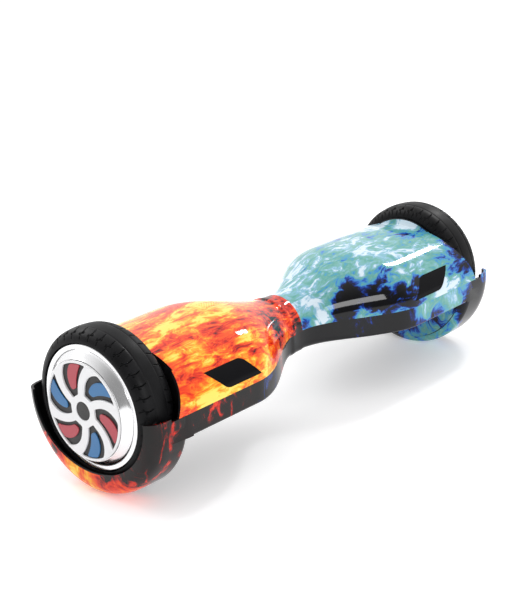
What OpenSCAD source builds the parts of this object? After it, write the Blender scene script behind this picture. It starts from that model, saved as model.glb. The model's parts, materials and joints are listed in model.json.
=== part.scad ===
// Self-balancing hoverboard, lying on its deck side with the belly shells and wheels up.
// X runs along the axles, the lamps face -Y, +Z is up and z = 0 is the floor.
// Every module below builds the right half (+X); the left half is its mirror image.

/* [Overall] */
// Height of the wheel and pivot axis above the floor
axis_z = 92.5; // [92:0.5:92.5]
// Distance from the middle to the face of each hub plate
half_length = 292; // [291:1:294]

/* [Body] */
// Half the width of the body at the feet
half_width = 93.4; // [93.4:0.1:94.4]
// Half the width of the body at the waist
waist_half_width = 33.6; // [33:0.2:35]
// Height of the belly dome above the axis, at its highest
dome_height = 57.5; // [56:0.5:59]
// Height of the belly above the axis at the waist
neck_height = 33.4; // [33:0.2:35]
// How far the deck lies under the axis
deck_drop = 23.4; // [23:0.1:24]
// How much the collar of the left half stands proud of the neck
collar_proud = 1.8; // [1:0.2:2.6]
// Thickness of the moulded shells
wall = 2.6; // [2.2:0.1:2.8]
// Gap between the two halves at the waist
waist_gap = 0.8; // [0.6:0.1:1.2]

/* [Fender] */
// Outer radius of the fender around the wheel axis
fender_r = 93.3; // [92.9:0.1:93.4]
// Radius of the fender's outer lip
lip_r = 67.5; // [67.5:0.5:69]
// Distance from the middle to the fender's outer lip
lip_x = 289; // [288.5:0.5:290]

/* [Wheel] */
// Radius of the tyre's tread
tyre_r = 80; // [79:0.5:81]
// Width of the tyre
tyre_w = 45.5; // [44:0.5:46]
// Radius of the rim's polished outer ring
rim_r = 66; // [65.5:0.5:66.5]
// Radius of the hub plate
hub_r = 52; // [51:0.5:52]
// Number of coils and of teeth on the motor's stator
teeth = 27; // [18:3:27]
// Number of magnets in the motor's rotor
magnets = 30; // [24:2:30]

/* [Pivot] */
// Outer radius of the steel tube that joins the halves
tube_r = 15; // [14:0.5:15]
// Running clearance of the tube in its bushes
tube_play = 0.05; // [0.03:0.01:0.08]

/* [Hidden] */
$fn = 64;
tiny = 0.01;

// Heights that several parts share
seam_rise = 0.8;
seam_z = axis_z + seam_rise;
deck_z = axis_z - deck_drop;
tray_z = deck_z + 4.5;
plate_z = axis_z - 12;
plate_t = 4;

// How far the fender's tips rise past the level of the axis, in degrees
tip_angle = 2.2;
tip_x = half_length - 29.2;

// Power of sine and cosine in the fender's section: 1 is an ellipse, less is squarer
fender_squareness = 0.64;

// Stations along the body
neck_x = waist_gap / 2;
collar_x = 20;
flare_len = 14;
flare_r = 66;
end_x = half_length - 56.4;
axle_hole_r = 12;

// The belly's sides run on past its end as ears beside the wheel, with a slanted edge
ear_x = half_length - 39;
ear_rise = 43.7;
well_r = tyre_r + 2.5;

// Tyre and rim stations, measured from the middle of the board
tyre_in = half_length - 54.5;
tyre_mid = tyre_in + tyre_w / 2;
rim_out = half_length - 10;
rim_in = half_length - 51;
seat_r = rim_r - 3.5;
cavity_r = 56;
web_x = half_length - 6;

// Bearings
outboard_r = 14;
outboard_w = 8;
outboard_x = half_length - 14.5;
inboard_r = 17.5;
inboard_w = 10;
inboard_x = half_length - 51;
axle_r = 8;
axle_thin_r = 6;
axle_seat_r = 8.5;
stator_x = half_length - 36;
stator_w = 18;
stator_r = 52.2;
magnet_in = 53.2;

// Pivot stations
barrel_out = 20.5;
bush_out = 17.5;
barrel_from = 22;
barrel_to = 74;
tube_to = 84;
circlip_x = 78;

// Foot mat, from its waist end to its wheel end
mat_from = 84;
mat_to = 222;
mat_inset = 21;
mat_t = 2.5;
mat_low = deck_z - 0.5;
mat_gap = 0.6;
groove_half = 44;
post_x = [125, 185];
post_r = 4;

// Screw bosses: distance from the middle and from the centreline
boss_at = [[62, 42], [128, 78], [214, 80]];
boss_r = 5;

// Lamp window, as heights above the axis and distances from the middle
lamp_low = 8;
lamp_high = 30;
lamp_round = 15;

// Swirl of the hub: where the windows lie between the spokes
window_in = 17.5;
window_out = 49.5;
insert_in = 23.5;
insert_out = 48.5;

// Back-edge fittings of the skirt
socket_at = [158, axis_z - 11.5];
switch_at = [190, axis_z - 11.3];
bezel_w = 22;
bezel_low = axis_z - 20.5;
bezel_h = 20.3;
bezel_rim = 0.9;
hinge_rise = 8.6;
socket_y = half_width - 4;
hinge_y = socket_y + 2.1;

// Open bay of the chassis, for the battery or the main board, and the legs under its plate
bay_from = 86;
bay_to = 194;
leg_at = [[100, 30], [200, 46]];

// Battery pack
battery_x = 88;
battery_l = 95;
battery_w = 68.4;
battery_z = plate_z + plate_t + 0.2;
battery_h = 40;

// Speaker, under the sound holes of the left belly shell
speaker_at = [108, 0];
sound_hole_r = 0.9;
sound_hole_pitch = 3.6;

shell_fire = "orangered";
shell_ice = "paleturquoise";

// ---- helpers ----

function clamp01(t) = max(0, min(1, t));
function smooth(t) = let (u = clamp01(t)) u * u * (3 - 2 * u);

// Extra radius of the waist collar, on the left half only
function collar(x, proud) = proud * (1 - smooth((x - collar_x + 2) / 5));

function body_half(x, proud = 0) =
    waist_half_width + (half_width - waist_half_width) * smooth((x - 2) / 136) + collar(x, proud);
function dome_rise(x, proud = 0) =
    neck_height + (dome_height - neck_height) * smooth(x / 125) + collar(x, proud);
function squareness(x) = 2 + 0.2 * smooth(x / 60);

// The belly flares out to a round lip around the axle just before it ends
function flare(x) = let (t = clamp01((x - end_x + flare_len) / flare_len))
    t == 0 ? 0 : flare_r - flare_len * sqrt(1 - t * t);

// Radius of the belly's cross-section at distance x, in the direction of angle a
function belly_r(x, a, inset, proud) =
    let (n = squareness(x), w = body_half(x, proud) - inset, h = dome_rise(x, proud) - inset)
    max(flare(x) - inset, pow(pow(abs(cos(a)) / w, n) + pow(abs(sin(a)) / h, n), -1 / n));

belly_stations = concat(
    [neck_x, collar_x - 3, collar_x, collar_x + 3],
    [for (i = [0 : 14]) collar_x + 14 + i * 13],
    [for (i = [0 : 6]) end_x - flare_len + flare_len * sin(15 * i)]
);

// A closed loft of the belly, inset all round; dip is how far below the seam its edge reaches
module belly_loft(inset, dip, from, to, proud) {
    xs = [for (x = belly_stations) if (x > from && x < to) x];
    stations = concat([from], xs, [to]);
    steps = 26;
    angles = [for (j = [0 : steps]) -dip + j * (180 + 2 * dip) / steps];
    points = [
        for (x = stations, a = angles)
            let (r = belly_r(x, a, inset, proud)) [x, -r * cos(a), seam_z + r * sin(a)]
    ];
    m = steps + 1;
    last = len(stations) - 1;
    sides = [
        for (i = [0 : last - 1], j = [0 : steps])
            let (k = (j + 1) % m) [i * m + j, i * m + k, (i + 1) * m + k, (i + 1) * m + j]
    ];
    near = [for (j = [m - 1 : -1 : 0]) j];
    far = [for (j = [0 : m - 1]) last * m + j];
    polyhedron(points, concat(sides, [near, far]), convexity = 6);
}

// Outline of the body in plan, inset all round
function plan_outline(inset, from, to, proud = 0) =
    let (n = 22, xs = [for (i = [0 : n]) from + (to - from) * i / n])
    concat(
        [for (x = xs) [x, inset - body_half(x, proud)]],
        [for (i = [n : -1 : 0]) [xs[i], body_half(xs[i], proud) - inset]]
    );

module on_axis(x) {
    translate([x, 0, axis_z]) rotate([0, 90, 0]) children();
}

module rod(x, length, r) {
    on_axis(x) cylinder(h = length, r = r);
}

// Revolves an outline of [radius, x] points about the wheel axis
module revolved(points) {
    translate([0, 0, axis_z]) rotate([0, 90, 0]) rotate_extrude($fn = 128) polygon(points);
}

module left() {
    mirror([1, 0, 0]) children();
}

module both_edges() {
    children();
    mirror([0, 1, 0]) children();
}

function arc(cx, cz, r, from, to, n) =
    [for (i = [0 : n]) let (a = from + (to - from) * i / n) [cx + r * cos(a), cz + r * sin(a)]];

// ---- shells ----

// The lamp is a slanted window with two sharp and two rounded corners
module lamp_outline() {
    polygon(concat(
        [[131.6, lamp_low]],
        arc(176, lamp_low + lamp_round, lamp_round, 270, 312.5, 6),
        [[205.8, lamp_high]],
        arc(158.9, lamp_high - lamp_round, lamp_round, 90, 136.5, 6)
    ));
}

module lamp_prism(shrink) {
    translate([0, -60, axis_z]) rotate([90, 0, 0]) linear_extrude(60)
        offset(delta = -shrink) lamp_outline();
}

module boss_post(at) {
    top = 40;
    hull() {
        translate([at[0], at[1], seam_z]) cylinder(h = tiny, r = boss_r, $fn = 24);
        translate([at[0], at[1], seam_z + top]) cylinder(h = tiny, r = boss_r + 1, $fn = 24);
    }
    hull() {
        translate([at[0] - 1, at[1], seam_z]) cube([2, 2, tiny]);
        translate([at[0] - 1, at[1], seam_z + top]) cube([2, 14, tiny]);
    }
}

module belly_shell(proud, speaker_side) {
    difference() {
        union() {
            difference() {
                belly_loft(0, 0, neck_x, end_x, proud);
                belly_loft(wall, 6, neck_x - 1, end_x - wall, proud);
            }
            intersection() {
                belly_loft(wall / 2, 0, neck_x, end_x - wall / 2, proud);
                both_edges() for (at = boss_at) boss_post(at);
            }
            belly_ears();
        }
        lamp_prism(0);
        on_axis(end_x - 5) cylinder(h = 10, r = axle_hole_r);
        both_edges() for (at = boss_at)
            translate([at[0], at[1], seam_z - 1]) cylinder(h = 20, r = 1.7, $fn = 16);
        if (speaker_side) sound_holes();
    }
}

module belly_ears() {
    from = end_x - wall;
    lean = ear_rise / (ear_x - end_x);
    intersection() {
        difference() {
            belly_loft(0, 0, from, ear_x, 0);
            belly_loft(wall, 6, from - 1, ear_x + 1, 0);
            rod(end_x, 40, well_r);
        }
        translate([0, 150, seam_z]) rotate([90, 0, 0]) linear_extrude(300)
            polygon([[from, 0], [ear_x, 0], [from, lean * (ear_x - from)]]);
    }
}

// Rows of round sound holes above the speaker
module sound_holes() {
    for (i = [-3 : 3], j = [-2 : 2])
        translate([speaker_at[0] + i * sound_hole_pitch, speaker_at[1] + j * sound_hole_pitch, seam_z + 30])
            cylinder(h = 50, r = sound_hole_r, $fn = 10);
}

module fender_ring() {
    t = wall;
    round_x = half_length - 30;
    in_x = end_x + 0.4;
    rise = fender_r - lip_r;
    out_len = lip_x - round_x;
    outer = concat(
        [[lip_r + 17, in_x]],
        arc(fender_r - 9, in_x + 10, 9, -70, 0, 5),
        arc_xr(round_x, lip_r, out_len, rise, 90, 0, 9)
    );
    inner = concat(
        arc_xr(round_x, lip_r, out_len - t, rise - t, 0, 90, 9),
        arc(fender_r - 9, in_x + 10, 9 - t, 0, -60, 5),
        [[lip_r + 14, in_x + t], [lip_r + 14, in_x]]
    );
    difference() {
        translate([0, 0, axis_z]) rotate([0, 90, 0]) rotate([0, 0, -90 - tip_angle])
            rotate_extrude(angle = 180 + 2 * tip_angle, $fn = 128) polygon(concat(outer, inner));
        // the raised tips begin outside the belly's ears
        translate([end_x - 1, -150, seam_z - 0.4]) cube([tip_x - end_x + 1, 300, 20]);
        // the side opening is wider than it is high, so the lip narrows towards the tips
        hub_face(round_x, 60) polygon([
            for (i = [0 : 59]) [(lip_r + 12.5) * cos(6 * i), lip_r * sin(6 * i)]
        ]);
    }
}

// Squarish quarter oval of [radius, x] points about (cx, cr), with half-axes along x and along the radius
function arc_xr(cx, cr, ax, ar, from, to, n) =
    [for (i = [0 : n])
        let (a = from + (to - from) * i / n)
        [cr + ar * pow(abs(sin(a)), fender_squareness), cx + ax * pow(abs(cos(a)), fender_squareness)]];

module deck_tray(inset, from, to, z0, z1) {
    translate([0, 0, z0]) linear_extrude(z1 - z0) polygon(plan_outline(inset, from, to));
}

module skirt(proud) {
    difference() {
        translate([0, 0, deck_z]) linear_extrude(seam_z - deck_z)
            polygon(plan_outline(0, neck_x, end_x, proud));
        translate([0, 0, deck_z + wall]) linear_extrude(60)
            polygon(plan_outline(wall, neck_x - 1, end_x - wall, proud));
        mat_space(0, deck_z - 1, tray_z);
    }
}

// The space that the foot mat fills, grown all round by grow
module mat_space(grow, z0, z1) {
    side = mat_gap + grow;
    deck_tray(mat_inset - side, mat_from - side, mat_to + side, z0, z1);
}

// The skirt runs on as a band over the side of the fender
module skirt_band() {
    band_t = 3.2;
    difference() {
        both_edges() translate([end_x - 1, half_width - band_t, deck_z])
            cube([tip_x - end_x + 1.5, band_t, seam_z - deck_z]);
        rod(end_x, 60, fender_r - wall);
    }
}

module mat_recess() {
    difference() {
        mat_space(wall, deck_z, tray_z + wall);
        mat_space(0, deck_z - 1, tray_z);
        for (x = post_x) translate([x, 0, tray_z - 1]) cylinder(h = wall + 2, r = post_r + 0.6);
    }
}

module end_wall() {
    difference() {
        rod(end_x - wall, 2 * wall + 0.4, lip_r + 16);
        translate([end_x - 10, -150, seam_z]) cube([30, 300, 150]);
        rod(end_x - 10, 30, axle_hole_r);
        rod(end_x, 30, lip_r + 13.5);
    }
}

module deck_boss(at) {
    difference() {
        translate([at[0], at[1], deck_z]) cylinder(h = seam_z - deck_z, r = boss_r);
        translate([at[0], at[1], deck_z - 1]) cylinder(h = 60, r = 2.2);
        translate([at[0], at[1], deck_z - 1]) cylinder(h = 4.5, r = 4);
    }
}

module deck_shell_body(proud) {
    difference() {
        union() {
            skirt(proud);
            skirt_band();
            mat_recess();
            end_wall();
            fender_ring();
        }
        rod(end_x - 10, 10, axle_hole_r);
        both_edges() for (at = boss_at)
            translate([at[0], at[1], deck_z - 1]) cylinder(h = wall + 2, r = boss_r - 0.5);
        // a narrow flat that the board stands on
        translate([-400, -150, -20]) cube([800, 300, 20]);
    }
    both_edges() for (at = boss_at) deck_boss(at);
}

// The rectangular opening in the back of the skirt that the charge socket's bezel fills
module socket_cutout() {
    translate([socket_at[0] - bezel_w / 2 - 0.2, half_width - 20, bezel_low - 0.2])
        cube([bezel_w + 0.4, 40, bezel_h + 0.4]);
}

// ---- lamps ----

module lamp_window() {
    color([0.02, 0.02, 0.02]) hull() intersection() {
        difference() {
            belly_loft(0.15, 0, 120, 215, 0);
            belly_loft(2.2, 6, 100, 230, 0);
        }
        lamp_prism(0.25);
    }
}

module lamp_board() {
    color("seagreen") translate([146, -77.5, axis_z + 10]) cube([44, 1.6, 14]);
    color("white") for (i = [0 : 5])
        translate([149 + i * 7, -78.5, axis_z + 15]) cube([3.5, 1, 3.5]);
}

// ---- deck ----

module foot_mat() {
    color("dimgray") {
        difference() {
            deck_tray(mat_inset, mat_from, mat_to, mat_low, mat_low + mat_t);
            for (i = [1 : 12])
                translate([mat_from + i * 10.6, -groove_half, mat_low - 1])
                    cube([2, 2 * groove_half, 1.7]);
        }
        for (x = post_x)
            translate([x, 0, mat_low + mat_t]) cylinder(h = 6.2, r = post_r);
    }
}

module sensor_board() {
    z = tray_z + wall + 1.8;
    color("darkgreen") difference() {
        union() {
            translate([105, -22, z]) cube([100, 44, 1.6]);
            for (x = post_x) translate([x - 8, -8, z - 1.5]) cube([16, 16, 1.5]);
        }
        for (x = post_x) translate([x, 0, z - 4]) cylinder(h = 6, r = post_r + 1);
        for (x = [112, 155, 198]) translate([x, 16, z - 1]) cylinder(h = 4, r = 1.6);
    }
}

// ---- frame ----

function chassis_outline(inset) =
    let (n = 16, from = 60 + inset, to = 229 - inset)
    let (xs = [for (i = [0 : n]) from + (to - from) * i / n])
    concat(
        [for (x = xs) [x, -min(body_half(x) - 26, 64) + inset]],
        [for (i = [n : -1 : 0]) [xs[i], min(body_half(xs[i]) - 26, 64) - inset]]
    );

module chassis(bore_r) {
    color("silver") difference() {
        union() {
            translate([0, 0, plate_z]) linear_extrude(12) polygon(chassis_outline(0));
            rod(barrel_from, barrel_to - barrel_from, barrel_out);
            translate([196, -22, plate_z]) cube([33, 44, axis_z - plate_z]);
            for (at = leg_at) both_edges() translate([at[0], at[1], tray_z + wall])
                cylinder(h = plate_z - tray_z - wall + 1, r = 5);
        }
        difference() {
            translate([0, 0, plate_z + plate_t]) linear_extrude(20) polygon(chassis_outline(3.5));
            rod(barrel_from, barrel_to - barrel_from, barrel_out);
            translate([196, -22, plate_z]) cube([40, 44, axis_z - plate_z]);
        }
        // open bay for the battery or the main board
        translate([bay_from, -80, plate_z + plate_t]) cube([bay_to - bay_from, 160, 30]);
        rod(barrel_from - 1, barrel_to - barrel_from + 2, bore_r);
        rod(barrel_to, bay_from - barrel_to, barrel_out);
        rod(180, 60, axle_r + 0.02);
        translate([190, -60, axis_z]) cube([60, 120, 20]);
        clamp_holes(axis_z - 8, 20);
    }
}

module clamp_holes(z, h) {
    for (x = [204, 221]) both_edges() translate([x, 15.5, z]) cylinder(h = h, r = 2.55);
}

module axle_clamp() {
    color("slategray") difference() {
        translate([197, -21, axis_z]) cube([31, 42, 14]);
        rod(180, 60, axle_r + 0.02);
        clamp_holes(axis_z - 1, 30);
    }
}

module clamp_screws() {
    color("dimgray") for (x = [204, 221]) both_edges() translate([x, 15.5, axis_z]) difference() {
        union() {
            translate([0, 0, -7]) cylinder(h = 21, r = 2.5);
            translate([0, 0, 14]) cylinder(h = 5, r = 4.25);
        }
        translate([0, 0, 16]) cylinder(h = 4, r = 2.3, $fn = 6);
    }
}

module shell_screws() {
    color("black") both_edges() for (at = boss_at) translate([at[0], at[1], deck_z]) difference() {
        union() {
            translate([0, 0, 1]) cylinder(h = 2.4, r = 3.6);
            translate([0, 0, 3.4]) cylinder(h = 30, r = 1.65);
        }
        translate([-0.5, -2.4, 0]) cube([1, 4.8, 2.2]);
        translate([-2.4, -0.5, 0]) cube([4.8, 1, 2.2]);
    }
}

module pivot_tube() {
    color("gray") difference() {
        rod(-barrel_to - 4, barrel_to + 4 + tube_to, tube_r);
        rod(-barrel_to - 5, barrel_to + 10 + tube_to, tube_r - 3);
        on_axis(circlip_x - 0.1) difference() {
            cylinder(h = 1.8, r = tube_r + 1);
            cylinder(h = 1.8, r = tube_r - 1);
        }
    }
}

module pivot_bushes() {
    color("ivory") for (x = [barrel_from, barrel_to - 12]) difference() {
        rod(x, 12, bush_out);
        rod(x - 1, 14, tube_r + tube_play);
    }
}

module pivot_circlip() {
    color("darkslategray") on_axis(circlip_x) difference() {
        cylinder(h = 1.6, r = tube_r + 3);
        translate([0, 0, -1]) cylinder(h = 4, r = tube_r - 0.9);
        translate([0, -2.5, -1]) cube([30, 5, 4]);
    }
}

// ---- wheel motor ----

module axle() {
    color("lightgray") difference() {
        union() {
            rod(half_length - 98, 46, axle_r);
            rod(half_length - 56, 4, axle_seat_r + 1.5);
            rod(half_length - 52, 16, axle_seat_r);
            rod(stator_x, stator_w, 11);
            rod(stator_x + stator_w, half_length - 7 - stator_x - stator_w, axle_thin_r);
        }
        rod(half_length - 100, 62.5, 3.4);
        translate([half_length - 38.5, 0, axis_z]) cylinder(h = 20, r = 2.3);
    }
}

module stator() {
    slot_in = 30;
    color("darkgray") difference() {
        rod(stator_x, stator_w, stator_r);
        rod(stator_x - 1, stator_w + 2, 11.02);
        for (i = [0 : teeth - 1]) on_axis(stator_x - 1) rotate([0, 0, i * 360 / teeth]) {
            translate([slot_in, -tooth_slot(slot_in) / 2, 0])
                linear_extrude(stator_w + 2) polygon([
                    [0, 0], [0, tooth_slot(slot_in)],
                    [18, tooth_slot(slot_in) + 2], [18, -2]
                ]);
            translate([slot_in + 17, -0.7, 0]) cube([10, 1.4, stator_w + 2]);
        }
        for (i = [0 : 5]) on_axis(stator_x - 1) rotate([0, 0, i * 60])
            translate([20, 0, 0]) cylinder(h = stator_w + 2, r = 4.5);
    }
}

function tooth_slot(r) = 2 * PI * r / teeth * 0.42;

// One coil round each tooth, leaving the tooth itself free
module coils() {
    color("peru") for (i = [0 : teeth - 1])
        on_axis(stator_x - 3) rotate([0, 0, (i + 0.5) * 360 / teeth]) difference() {
            translate([34, -3.7, 0]) cube([12, 7.4, stator_w + 6]);
            translate([33, -2.95, 2.6]) cube([14, 5.9, stator_w + 0.8]);
        }
}

module magnet_ring() {
    pitch = 360 / magnets;
    color("gainsboro") for (i = [0 : magnets - 1]) on_axis(stator_x - 2) rotate([0, 0, i * pitch])
        rotate_extrude(angle = pitch * 0.84, $fn = 128)
            translate([magnet_in, 0]) square([cavity_r - 0.02 - magnet_in, stator_w + 4]);
}

module rim() {
    color("whitesmoke") revolved([
        [outboard_r, outboard_x], [18, outboard_x], [18, web_x], [48, web_x],
        [cavity_r, half_length - 13], [cavity_r, rim_in + 3], [60, rim_in + 3], [60, rim_in],
        [rim_r, rim_in], [rim_r, rim_in + 2], [seat_r, rim_in + 3.5],
        [seat_r, rim_out - 3.5], [rim_r, rim_out - 2], [rim_r, rim_out],
        [62, rim_out], [60.2, rim_out + 3.4], [57.2, rim_out + 6.8], [hub_r + 1, rim_out + 9.6],
        [hub_r + 0.3, rim_out + 9.6], [hub_r + 0.3, half_length - 3], [0, half_length - 3],
        [0, outboard_x + outboard_w], [outboard_r, outboard_x + outboard_w]
    ]);
}

module motor_cover() {
    color("silver") difference() {
        union() {
            rod(rim_in, 3, 59.9);
            rod(rim_in + 3, inboard_w - 2, inboard_r + 4);
        }
        rod(rim_in - 1, 20, inboard_r - 2);
        rod(rim_in + 1, 20, inboard_r);
        for (i = [0 : 5]) on_axis(rim_in - 1) rotate([0, 0, i * 60])
            translate([50, 0, 0]) cylinder(h = 2.5, r = 3);
    }
}

module bearing(x, w, outer, inner) {
    t = (outer - inner) * 0.28;
    difference() {
        rod(x, w, outer);
        rod(x - 1, w + 2, inner);
        on_axis(x - 1) difference() {
            cylinder(h = 1.8, r = outer - t);
            cylinder(h = 1.8, r = inner + t);
        }
    }
}

module bearings() {
    color("lightsteelblue") {
        bearing(inboard_x + 1, inboard_w, inboard_r - 0.02, axle_seat_r + 0.05);
        bearing(outboard_x + 0.1, outboard_w - 0.2, outboard_r - 0.02, axle_thin_r + 0.05);
    }
}

function shoulder(side) = [
    for (i = [0 : 6])
        let (a = side > 0 ? 90 - 15 * i : 15 * i)
        [tyre_r - 13 + 12.4 * sin(a), tyre_mid + side * (tyre_w / 2 - 14 + 14 * cos(a))]
];

module tyre() {
    color([0.09, 0.09, 0.09]) difference() {
        revolved(concat(
            [[seat_r, rim_in + 3.6], [rim_r + 0.3, rim_in + 2.2]],
            shoulder(-1), [[tyre_r, tyre_mid]], shoulder(1),
            [[rim_r + 0.3, rim_out - 2.2], [seat_r, rim_out - 3.6]]
        ));
        for (x = [-9, 0, 9]) on_axis(tyre_mid + x - 1) difference() {
            cylinder(h = 2, r = tyre_r + 1);
            cylinder(h = 2, r = tyre_r - 2.5);
        }
    }
}

// ---- hub face ----

// Angles of a window's two edges at radius r; the spokes between them sweep like a fan
function edge_lead(r) = 105.6 - 0.8 * (r - 17.3);
function edge_trail(r) = 139 - 0.031 * pow(max(0, r - 24), 2);

// A window's outline in the hub's plane, with lead and trail turned inwards by two angles
function window_points(r0, r1, lead, trail) =
    let (n = 9, rs = [for (i = [0 : n]) r0 + (r1 - r0) * i / n])
    let (swing = edge_trail(r1) - trail - edge_lead(r1) - lead)
    concat(
        [for (r = rs) polar(r, edge_lead(r) + lead)],
        [for (i = [1 : 4]) polar(r1, edge_lead(r1) + lead + swing * i / 5)],
        [for (i = [n : -1 : 0]) polar(rs[i], edge_trail(rs[i]) - trail)]
    );

// A point [y, z] of the hub's plane at radius r and angle a
function polar(r, a) = [-r * cos(a), r * sin(a)];

// Stands an outline drawn as [y, z] upright in the hub's plane, growing towards +X
module hub_face(x, depth) {
    translate([x, 0, axis_z]) rotate([90, 0, 90]) linear_extrude(depth) children();
}

module hub_backing() {
    color([0.06, 0.06, 0.06]) {
        rod(half_length - 3, 0.8, hub_r);
        rod(half_length - 2.2, 2, 9.6);
    }
}

module hub_plate() {
    color("white") difference() {
        rod(half_length - 2.2, 2.2, hub_r);
        rod(half_length - 3, 4, 9.8);
        for (i = [0 : 5]) hub_face(half_length - 3, 4) rotate(60 * i)
            polygon(window_points(window_in, window_out, 0, 0));
    }
}

module inserts(first) {
    for (i = [0 : 2]) hub_face(half_length - 2.2, 1.4) rotate(first + 120 * i)
        polygon(window_points(insert_in, insert_out, 8, 13));
}

// ---- electrics ----

module motor_cable() {
    color("orange") rod(187, half_length - 40 - 187, 3);
}

module board_loom() {
    color("crimson") rod(-98, 184, 5);
}

module main_board() {
    z = axis_z + 4;
    color("green") translate([104, -38, z]) cube([84, 76, 1.6]);
    color("dimgray") {
        translate([108, 20, z + 1.6]) cube([22, 14, 9]);
        for (y = [-28, -10, 8]) translate([176, y, z + 1.6]) cylinder(h = 16, r = 6);
        for (i = [0 : 3]) translate([112 + i * 15, -34, z + 1.6]) cube([9, 7, 8]);
    }
    color("silver") for (x = [108, 184]) for (y = [-33, 33])
        translate([x, y, plate_z + plate_t]) cylinder(h = z - plate_z - plate_t, r = 2.5);
}

module heat_sink() {
    z = axis_z + 5.6;
    color("silver") difference() {
        translate([112, -22, z]) cube([52, 36, 14]);
        for (i = [0 : 7]) translate([115 + i * 6, -23, z + 3]) cube([3.6, 38, 20]);
    }
}

module battery_case() {
    t = 1.6;
    color("royalblue") difference() {
        translate([battery_x, -battery_w / 2, battery_z]) cube([battery_l, battery_w, battery_h]);
        translate([battery_x + t, t - battery_w / 2, battery_z + t])
            cube([battery_l - 2 * t, battery_w - 2 * t, battery_h - 2 * t]);
    }
}

module battery_cells() {
    r = 9.05;
    pitch = 18.3;
    color("turquoise") for (i = [0 : 4], j = [0, 1])
        translate([battery_x + 1.8 + r + i * pitch, -32.5, battery_z + 1.7 + r + j * pitch])
            rotate([-90, 0, 0]) cylinder(h = 65, r = r);
}

module speaker() {
    z = axis_z + 40;
    post_y = 42;
    color("dimgray") {
        translate([speaker_at[0], speaker_at[1], z]) {
            cylinder(h = 8, r = 10);
            translate([0, 0, 8]) cylinder(h = 3, r = 14);
            translate([-2, 8, 1]) cube([4, post_y - 8, 2]);
        }
        translate([speaker_at[0] - 2, post_y, plate_z + plate_t])
            cube([4, 4, z + 3 - plate_z - plate_t]);
    }
}

// ---- fittings in the back edge of the skirt ----

module charge_socket() {
    x = socket_at[0];
    z = socket_at[1];
    color("black") {
        translate([x - bezel_w / 2, socket_y - 2.4, bezel_low]) difference() {
            cube([bezel_w, 6.2, bezel_h]);
            translate([bezel_rim, 2.4, bezel_rim])
                cube([bezel_w - 2 * bezel_rim, 9, bezel_h - 2 * bezel_rim]);
            translate([bezel_w / 2, -1, z - bezel_low]) rotate([-90, 0, 0]) cylinder(h = 9, r = 6);
        }
        translate([x, 0, z]) rotate([-90, 0, 0]) difference() {
            union() {
                translate([0, 0, socket_y]) cylinder(h = 1.4, r = 7);
                translate([0, 0, socket_y - 13]) cylinder(h = 13, r = 6.9);
            }
            translate([0, 0, socket_y - 4.6]) cylinder(h = 20, r = 5.5);
            translate([0, 0, socket_y - 11]) cylinder(h = 20, r = 5);
        }
        for (side = [-1, 1])
            translate([x + side * 6.6 - 1.1, socket_y, z + 7.6]) cube([2.2, 3.1, 2.6]);
    }
    color("gold") for (a = [90, 210, 330])
        translate([x + 2.6 * cos(a), socket_y - 12, z + 2.6 * sin(a)]) rotate([-90, 0, 0])
            cylinder(h = 7, r = 0.9);
    color("silver") translate([x - 6.6, hinge_y, z + hinge_rise]) rotate([0, 90, 0])
        cylinder(h = 13.2, r = 0.8);
}

module charge_cap() {
    x = socket_at[0];
    z = socket_at[1];
    color([0.12, 0.12, 0.12]) difference() {
        union() {
            translate([x, socket_y + 1.8, z]) rotate([-90, 0, 0]) cylinder(h = 1.6, r = 7.6);
            translate([x - 4, socket_y + 1.8, z + 5]) cube([8, 1.6, hinge_rise - 5]);
            translate([x - 4, hinge_y, z + hinge_rise]) rotate([0, 90, 0]) cylinder(h = 8, r = 1.35);
        }
        translate([x - 10, hinge_y, z + hinge_rise]) rotate([0, 90, 0]) cylinder(h = 20, r = 0.86);
    }
}

module power_switch() {
    x = switch_at[0];
    z = switch_at[1];
    color("silver") translate([x, 0, z]) rotate([-90, 0, 0]) difference() {
        union() {
            translate([0, 0, half_width - 1.4]) cylinder(h = 1.2, r = 8.4);
            translate([0, 0, half_width - 16]) cylinder(h = 15, r = 6.9);
        }
        translate([0, 0, half_width - 14]) cylinder(h = 20, r = 5.6);
    }
}

module power_button() {
    color("firebrick") translate([switch_at[0], 0, switch_at[1]]) rotate([-90, 0, 0])
        translate([0, 0, half_width - 11]) cylinder(h = 10.6, r = 5.3);
}

module status_window() {
    color([0.1, 0.1, 0.1]) translate([44, -11, deck_z + 0.2]) cube([16, 22, wall - 0.3]);
}

// ---- finished shells ----

module left_deck_shell() {
    color(shell_fire) left() deck_shell_body(collar_proud);
}

module right_deck_shell() {
    color(shell_ice) difference() {
        deck_shell_body(0);
        socket_cutout();
        translate([switch_at[0], half_width, switch_at[1]]) rotate([-90, 0, 0]) {
            translate([0, 0, -1.5]) cylinder(h = 20, r = 8.6);
            translate([0, 0, -20]) cylinder(h = 40, r = 7.1);
        }
        translate([43.8, -11.2, deck_z - 1]) cube([16.4, 22.4, 10]);
    }
}

color(shell_fire) left() belly_shell(collar_proud, true);  // belly_shell_left
color(shell_ice) belly_shell(0, false);  // belly_shell_right
left_deck_shell();  // deck_shell_left
right_deck_shell();  // deck_shell_right
left() lamp_window();  // lamp_window_left
lamp_window();  // lamp_window_right
left() lamp_board();  // lamp_board_left
lamp_board();  // lamp_board_right
left() foot_mat();  // foot_mat_left
foot_mat();  // foot_mat_right
left() sensor_board();  // sensor_board_left
sensor_board();  // sensor_board_right
left() chassis(tube_r + 0.02);  // chassis_left
chassis(bush_out + 0.02);  // chassis_right
left() axle();  // axle_left
axle();  // axle_right
left() axle_clamp();  // axle_clamp_left
axle_clamp();  // axle_clamp_right
left() clamp_screws();  // clamp_screws_left
clamp_screws();  // clamp_screws_right
left() shell_screws();  // shell_screws_left
shell_screws();  // shell_screws_right
left() stator();  // stator_left
stator();  // stator_right
left() coils();  // coils_left
coils();  // coils_right
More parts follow.
